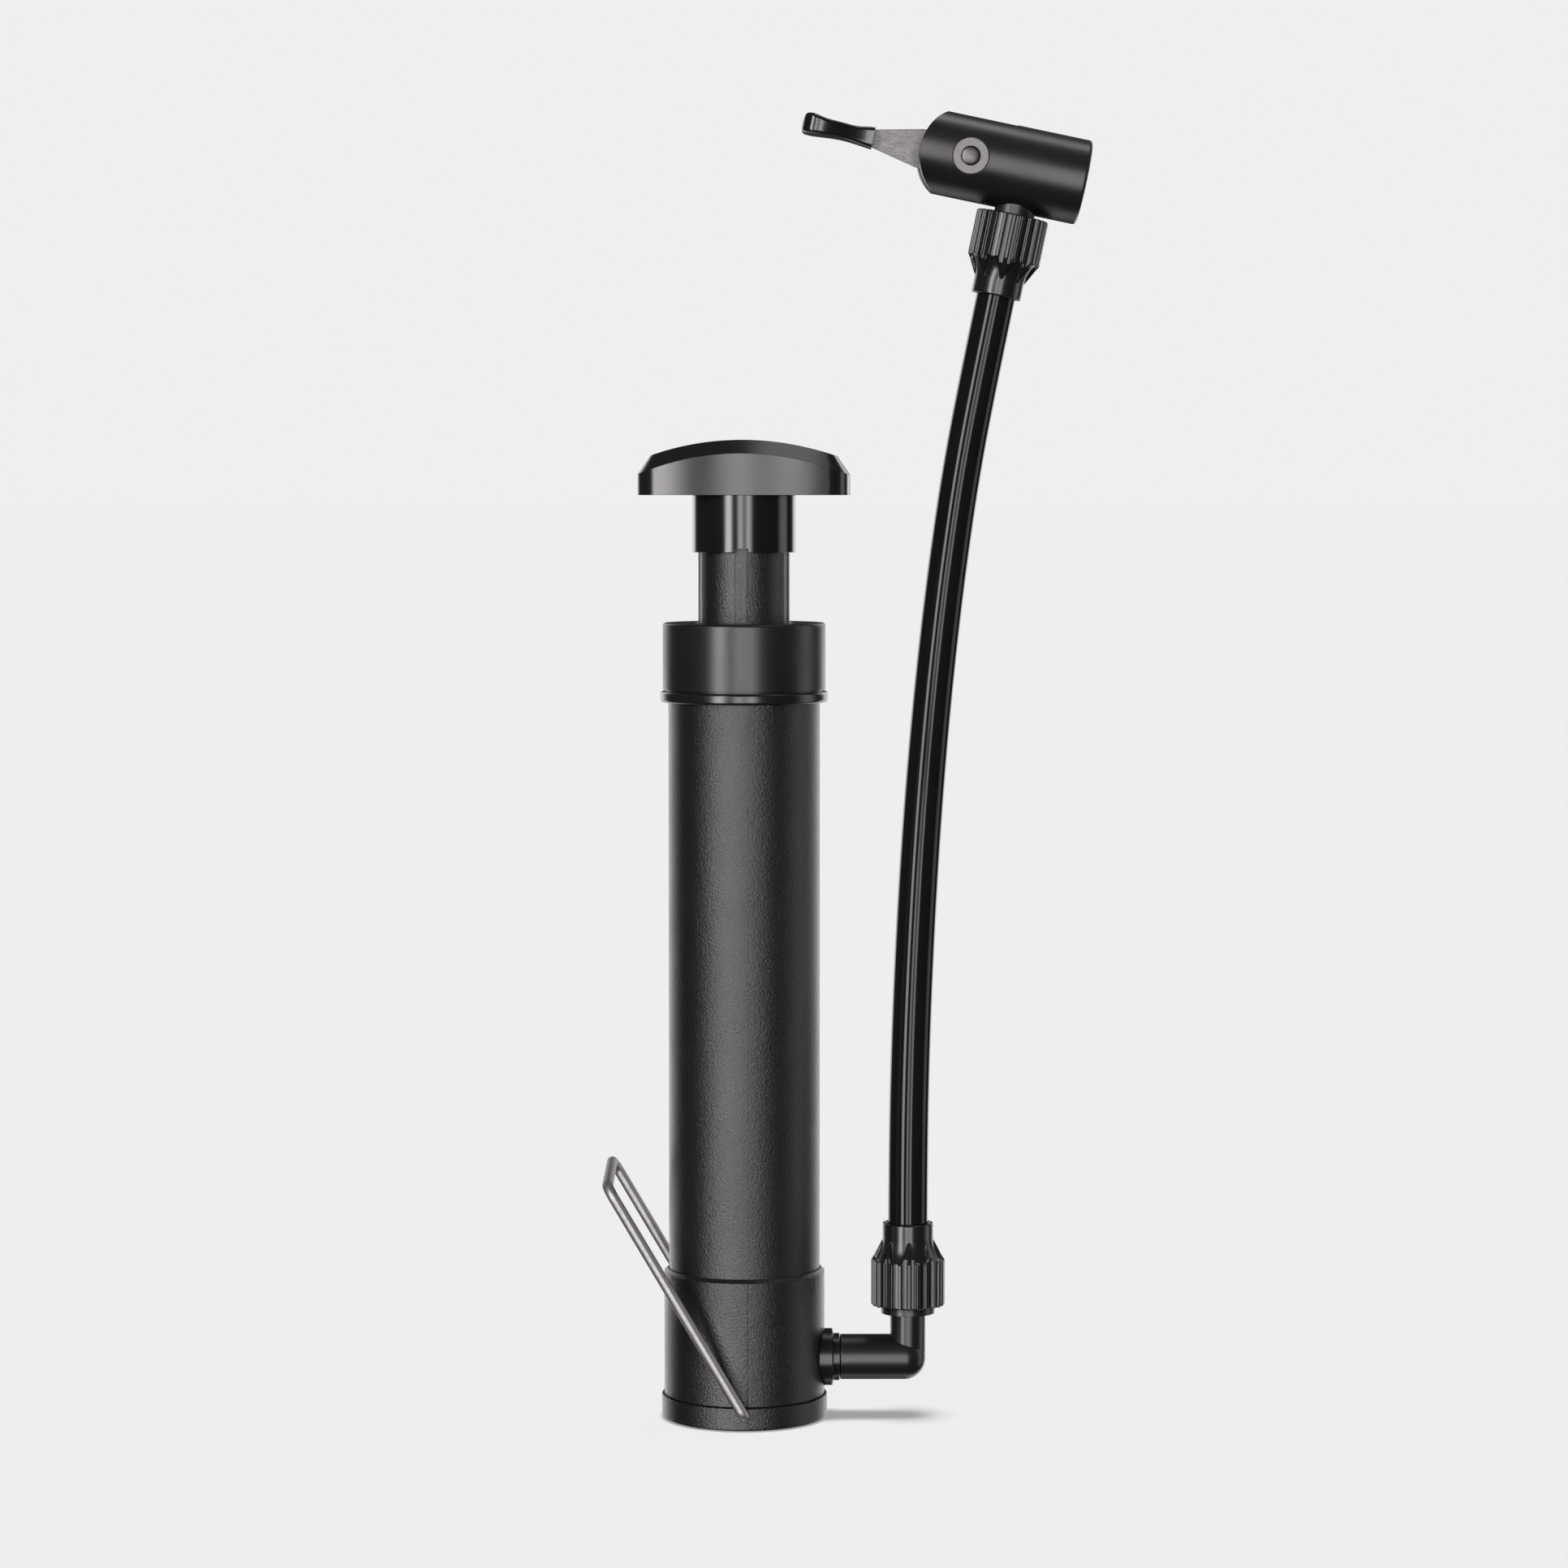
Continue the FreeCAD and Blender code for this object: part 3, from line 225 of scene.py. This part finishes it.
def mould_seam(graph, place):
    """1 along the fine upright parting line on the front of the barrel and the base, 0 elsewhere."""
    split = graph.add("ShaderNodeSeparateXYZ", {"Vector": place})
    away = graph.math("ABSOLUTE", graph.math("SUBTRACT", split.outputs["X"], SEAM_AT))
    ridge = graph.ramp(away, SEAM_HALF_WIDTH, 0.0)
    front = graph.math("LESS_THAN", split.outputs["Y"], 0.0)
    return graph.math("MULTIPLY", ridge, front)


def moulded_plastic(name, tone, roughness, grain, grain_size, edge=0.15 * MM, seam=0.0):
    """Black moulded plastic: fine grain, faint flow marks and a little uneven gloss."""
    material, graph, place = new_material(name)
    fine = graph.noise(place, 1 / grain_size, 3.0, 0.6)
    broad = graph.noise(place, 60.0, 3.0)
    colour = graph.colours(broad, shade(tone * 0.85), shade(tone * 1.15))
    gloss = graph.uneven(broad, roughness * 0.94, roughness * 1.07)
    normal = soft_edges(graph, edge)
    if seam:
        normal = graph.bump(mould_seam(graph, place), seam, SEAM_HEIGHT, normal)
    normal = graph.bump(fine, grain, grain_size * 0.5, normal)
    finish_material(graph, Base_Color=colour, Roughness=gloss, Normal=normal)
    return material


def hose_rubber():
    """Smooth black rubber with a deep gloss."""
    material, graph, place = new_material("hose_rubber")
    broad = graph.noise(place, 90.0, 3.0)
    fine = graph.noise(place, 1500.0, 2.0)
    colour = graph.colours(broad, shade(0.007), shade(0.010))
    gloss = graph.uneven(broad, 0.04, 0.06)
    normal = graph.bump(fine, 0.02, 0.05 * MM)
    finish_material(graph, Base_Color=colour, Roughness=gloss, Specular_IOR_Level=0.19, Normal=normal)
    return material


def steel(name, tone, roughness, grain=0.04, glancing=1.0):
    """Drawn or stamped steel with fine lines along one direction; glancing dims its edge reflections."""
    material, graph, place = new_material(name)
    stretch = graph.add("ShaderNodeVectorMath", {0: place, 1: BRUSH_STRETCH}, operation="MULTIPLY")
    lines = graph.noise(stretch.outputs[0], 900.0, 3.0, 0.6)
    broad = graph.noise(place, 150.0, 2.0)
    colour = graph.colours(broad, shade(tone * 0.92), shade(tone * 1.05))
    gloss = graph.uneven(lines, roughness * 0.85, roughness * 1.2)
    normal = graph.bump(lines, grain, 0.05 * MM, soft_edges(graph, 0.1 * MM))
    finish_material(graph, Base_Color=colour, Metallic=1.0, Roughness=gloss, Normal=normal,
                    Specular_Tint=(glancing, glancing, glancing, 1))
    return material


MATERIALS = {
    "barrel_paint": moulded_plastic("barrel_paint", 0.012, 0.30, 0.7, 0.5 * MM, seam=0.3),
    "textured_plastic": moulded_plastic("textured_plastic", 0.011, 0.29, 0.7, 0.5 * MM, seam=0.7),
    "black_plastic": moulded_plastic("black_plastic", 0.011, 0.24, 0.04, 0.20 * MM),
    "satin_plastic": moulded_plastic("satin_plastic", 0.011, 0.35, 0.06, 0.15 * MM),
    "gloss_plastic": moulded_plastic("gloss_plastic", 0.008, 0.17, 0.02, 0.30 * MM),
    "pale_plastic": moulded_plastic("pale_plastic", 0.70, 0.35, 0.05, 0.20 * MM),
    "seal_rubber": moulded_plastic("seal_rubber", 0.012, 0.60, 0.15, 0.25 * MM),
    "hose_rubber": hose_rubber(),
    "steel": steel("steel", 0.45, 0.30),
    "steel_wire": steel("steel_wire", 0.45, 0.52, 0.02, glancing=0.7),
    "dark_steel": steel("dark_steel", 0.12, 0.42),
    "lever_steel": steel("lever_steel", 0.20, 0.55),
}


# ---- hose nuts ----------------------------------------------------------------------------------------

NUT_LENGTH = 20.9
NUT_RADIUS = 9.25
NUT_BORE = 6.7
NUT_BORE_DEPTH = 1.6
NUT_NECK = 6.4
NUT_EDGE = 0.25
NUT_RIM_ROUND = 0.3
NUT_RIBS = 24
NUT_RIB_END = 11.4
NUT_RIB_RUN_OUT = 0.7
NUT_GROOVE = 0.7
NUT_GROOVE_SHARE = 0.27
NUT_GROOVE_SLOPE = 0.06
NUT_FINS = 8
NUT_FIN_END = 16.8
NUT_FIN_HALF_WIDTH = 1.65
NUT_FIN_TIP = 0.1
NUT_FIN_SLOPE = 0.25
NUT_BELL_POWER = 1.8
NUT_STEPS = 480
PIN_STEPS = 64


def smooth(value, low, high):
    """0 below low, 1 above high and a soft step between."""
    share = min(max((value - low) / (high - low), 0.0), 1.0)
    return share * share * (3 - 2 * share)


def between(value, low, high, out_low, out_high):
    """A straight change from out_low to out_high as value goes from low to high."""
    share = min(max((value - low) / (high - low), 0.0), 1.0)
    return out_low + (out_high - out_low) * share


def nut_surface(turn, height):
    """Radius of the nut in mm at a turn of 0 to 1 and a height from its wide end."""
    to_rib = abs((turn * NUT_RIBS) % 1 - 0.5)
    rib = smooth(to_rib, NUT_GROOVE_SHARE, NUT_GROOVE_SHARE + NUT_GROOVE_SLOPE)
    ribbed = NUT_RADIUS - NUT_GROOVE * (1 - rib) - NUT_EDGE * smooth(NUT_EDGE - height, 0, NUT_EDGE)
    left = between(height, NUT_RIB_END, NUT_FIN_END, 1.0, 0.0)
    bell = NUT_NECK + (NUT_RADIUS - NUT_GROOVE - NUT_NECK) * left ** NUT_BELL_POWER
    body = bell + (ribbed - bell) * smooth(NUT_RIB_END + 0.5 - height, 0.0, NUT_RIB_RUN_OUT)
    slope = between(height, NUT_RIB_END, NUT_FIN_END, NUT_RADIUS, NUT_NECK - 0.05)
    half_width = between(height, NUT_RIB_END, NUT_FIN_END, NUT_FIN_HALF_WIDTH, NUT_FIN_TIP)
    to_fin = abs((turn * NUT_FINS + 0.5) % 1 - 0.5) * 2 * math.pi * body / NUT_FINS
    fin = 1 - smooth(to_fin, half_width, half_width + NUT_FIN_SLOPE)
    return body + max(min(ribbed, slope) - body, 0.0) * fin


def tube_mesh(name, rings, steps):
    """Quads through rings of points, each ring a function from a turn to a radius, and a height."""
    points = []
    for radius_at, height in rings:
        for step in range(steps):
            angle = 2 * math.pi * step / steps
            radius = radius_at(step / steps)
            points.append((radius * math.cos(angle) * MM, radius * math.sin(angle) * MM, height * MM))
    faces = []
    for ring in range(len(rings) - 1):
        for step in range(steps):
            after = (step + 1) % steps
            low, high = ring * steps, (ring + 1) * steps
            faces.append((low + step, low + after, high + after, high + step))
    mesh = bpy.data.meshes.new(name)
    mesh.from_pydata(points, [], faces)
    mesh.polygons.foreach_set("use_smooth", [True] * len(faces))
    return mesh


def plain_ring(radius, height):
    """A round ring for tube_mesh."""
    return (lambda turn: radius, height)


def nut_ring(height):
    """A ring of the nut's ribbed outside for tube_mesh."""
    return (lambda turn: nut_surface(turn, height), height)


def add_piece(name, mesh, place, body, node, slot):
    """Show a finer mesh in place of a CAD node, riding on the node's body."""
    mesh.transform(place)
    piece = bpy.data.objects.new(name, mesh)
    bpy.context.scene.collection.objects.link(piece)
    mesh.materials.append(MATERIALS[slot])
    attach(piece, body)
    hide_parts(node)
    return piece


HEAD_FRAME = Matrix.Translation((0.0574, 0.026, 0.3182)) @ Matrix.Rotation(math.radians(11.8), 4, "Y")
LOWER_NUT_PLACE = Matrix.Translation((0.0413, 0, 0.0282))
UPPER_NUT_PLACE = HEAD_FRAME @ Matrix.Translation((0.014, 0, -0.0119)) @ Matrix.Rotation(math.pi, 4, "X")


def make_nuts():
    """The two ribbed nuts: bore, ribbed outside, then the rounded rim and the mouth round the hose."""
    outside = [0.0, 0.1, NUT_EDGE, 0.4, 0.6, 6.0]
    outside += [10.6 + 0.2 * step for step in range(41)]
    outside += [20.2, 20.4]
    rim = [
        (NUT_NECK, NUT_RIM_ROUND),
        (NUT_NECK - 0.09, 0.09),
        (NUT_NECK - NUT_RIM_ROUND, 0.0),
        (5.75, 0.0),
        (5.6, 0.15),
        (5.55, 1.4),
        (5.05, 1.5),
    ]
    rings = [plain_ring(NUT_BORE, NUT_BORE_DEPTH), plain_ring(NUT_BORE, 0.0)]
    rings += [nut_ring(height) for height in outside]
    rings += [plain_ring(radius, NUT_LENGTH - depth) for radius, depth in rim]
    for name, place, node in (("lower_nut", LOWER_NUT_PLACE, "hose_nut_lower"),
                              ("upper_nut", UPPER_NUT_PLACE, "hose_nut_upper")):
        add_piece(name, tube_mesh(name, rings, NUT_STEPS), place, "hose_line", node, "black_plastic")


def make_pin():
    """The head's pivot pin with domed ends."""
    half = [
        (2.45, 0.0),
        (2.45, 9.95),
        (2.38, 10.1),
        (2.2, 10.22),
        (1.7, 10.38),
        (1.0, 10.52),
        (0.02, 10.6),
    ]
    rings = [plain_ring(radius, -height) for radius, height in reversed(half[1:])]
    rings += [plain_ring(radius, height) for radius, height in half]
    place = HEAD_FRAME @ Matrix.Rotation(math.pi / 2, 4, "X")
    mesh = tube_mesh("domed_pin", rings, PIN_STEPS)
    add_piece("domed_pin", mesh, place, "hose_line", "pivot_pin", "dark_steel")


def make_spring():
    """The check spring, as a copy of its CAD mesh that rides on the root body."""
    mesh = nodes["check_spring"].data.copy()
    mesh.materials.clear()
    spring = add_piece("coiled_spring", mesh, Matrix(), "root", "check_spring", "steel")
    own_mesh(spring)


def dress():
    """Give every CAD node the material of its slot in the record."""
    for entry in frame["record"]["subparts"]:
        mesh = nodes[entry["node"]].data
        mesh.materials.clear()
        mesh.materials.append(MATERIALS[entry["material_slot"]])
    hose.data.materials.append(MATERIALS["hose_rubber"])


dress()
make_nuts()
make_pin()
make_spring()


# ---- studio -------------------------------------------------------------------------------------------

PALE = 0.863
SOFTBOXES = (
    # azimuth and elevation of the middle, half sizes in degrees, soft edge, brightness; azimuth 0 is the
    # camera's side and positive is to the right
    (-35, 2, 7, 32, 5, 14.0),
    (-9, -1, 5, 20, 4, 7.5),
    (11, -1, 5, 20, 4, 7.5),
    (1, -1, 9, 20, 5, 2.5),
    (131, 75, 34, 12, 8, 4.5),
    (98, 4, 12, 32, 10, 1.5),
)
BACKDROP_START = 140
BACKDROP_END = 168
BACKDROP_LIGHT = 1.9
BACKDROP_TOP = 25
BACKDROP_SOFT = 10
ROOM_LIGHT = 0.06
LIGHT_COLOUR = (1.0, 0.96, 0.97, 1)
STRAIGHT_UP = 0.9999  # keeps the arcsine inside its range


def window(graph, value, middle, half, soft):
    """1 inside a band of angles, 0 outside, with a soft edge."""
    away = graph.math("ABSOLUTE", graph.math("SUBTRACT", value, math.radians(middle)))
    return graph.ramp(away, math.radians(half + soft / 2), math.radians(max(half - soft / 2, 0.1)))


def make_world():
    """Soft boxes in front, above and at the side, a pale backdrop behind, all far away."""
    world = bpy.data.worlds.new("studio")
    bpy.context.scene.world = world
    world.use_nodes = True
    graph = Graph(world.node_tree)
    aim = graph.add("ShaderNodeTexCoord").outputs["Generated"]
    split = graph.add("ShaderNodeSeparateXYZ", {"Vector": aim})
    x, y, z = (split.outputs[axis] for axis in "XYZ")
    azimuth = graph.math("ARCTAN2", x, graph.math("MULTIPLY", y, -1.0))
    rise = graph.math("MINIMUM", graph.math("MAXIMUM", z, -STRAIGHT_UP), STRAIGHT_UP)
    elevation = graph.math("ARCSINE", rise)
    light = graph.math("MULTIPLY", elevation, 0.0)
    for middle, height, half_width, half_height, soft, bright in SOFTBOXES:
        across = window(graph, azimuth, middle, half_width, soft)
        up = window(graph, elevation, height, half_height, soft)
        box = graph.math("MULTIPLY", graph.math("MULTIPLY", across, up), bright)
        light = graph.math("ADD", light, box)
    turned = graph.math("ABSOLUTE", azimuth)
    middle, half = (BACKDROP_START + BACKDROP_END) / 2, (BACKDROP_END - BACKDROP_START) / 2
    behind = window(graph, turned, middle, half, BACKDROP_SOFT)
    top, bottom = math.radians(BACKDROP_TOP + BACKDROP_SOFT), math.radians(BACKDROP_TOP - BACKDROP_SOFT)
    low = graph.ramp(elevation, top, bottom)
    backdrop = graph.math("MULTIPLY", graph.math("MULTIPLY", behind, low), BACKDROP_LIGHT)
    total = graph.math("ADD", graph.math("ADD", light, backdrop), ROOM_LIGHT)
    lights = graph.add("ShaderNodeBackground", {"Color": LIGHT_COLOUR, "Strength": total})
    plain = graph.add("ShaderNodeBackground", {"Color": (PALE, PALE, PALE, 1), "Strength": 1.0})
    seen = graph.add("ShaderNodeLightPath").outputs["Is Camera Ray"]
    both = graph.add("ShaderNodeMixShader", {0: seen, 1: lights.outputs[0], 2: plain.outputs[0]})
    graph.add("ShaderNodeOutputWorld", {"Surface": both.outputs[0]})


FLOOR_HALF_SIZE = 60
FLOOR_DROP = 0.02 * MM
FLOOR_GLOW = 0.336
FLOOR_TONE = 0.05
OVERHEAD = 31.0
OVERHEAD_ANGLE = 22
LOW_PIECES = ("foot_cap", "outlet_flange", "swivel_elbow", "hose_nut_lower")


def make_floor():
    """A plain pale floor that glows a little, so that it stays even out to the horizon."""
    mesh = bpy.data.meshes.new("floor")
    size = FLOOR_HALF_SIZE
    corners = [(-size, -size, 0), (size, -size, 0), (size, size, 0), (-size, size, 0)]
    mesh.from_pydata(corners, [], [(0, 1, 2, 3)])
    floor = bpy.data.objects.new("floor", mesh)
    floor.location.z = -FLOOR_DROP
    bpy.context.scene.collection.objects.link(floor)
    material, graph, place = new_material("floor_paint")
    finish_material(graph, Base_Color=(FLOOR_TONE, FLOOR_TONE, FLOOR_TONE, 1), Roughness=1.0,
                    Specular_IOR_Level=0.0, Emission_Color=(1, 1, 1, 1), Emission_Strength=FLOOR_GLOW)
    mesh.materials.append(material)
    floor.visible_diffuse = False
    floor.visible_glossy = False
    return floor


def make_overhead(floor):
    """A soft light straight above that lights the floor alone; the low pieces shade it."""
    data = bpy.data.lights.new("overhead", "SUN")
    data.angle = math.radians(OVERHEAD_ANGLE)
    data.energy = OVERHEAD
    light = bpy.data.objects.new("overhead", data)
    bpy.context.scene.collection.objects.link(light)
    lit = bpy.data.collections.new("lit_by_overhead")
    lit.objects.link(floor)
    light.light_linking.receiver_collection = lit
    shades = bpy.data.collections.new("shades_overhead")
    for name in LOW_PIECES:
        shades.objects.link(nodes[name])
    light.light_linking.blocker_collection = shades


make_world()
make_overhead(make_floor())
bpy.context.scene.view_settings.view_transform = "Standard"
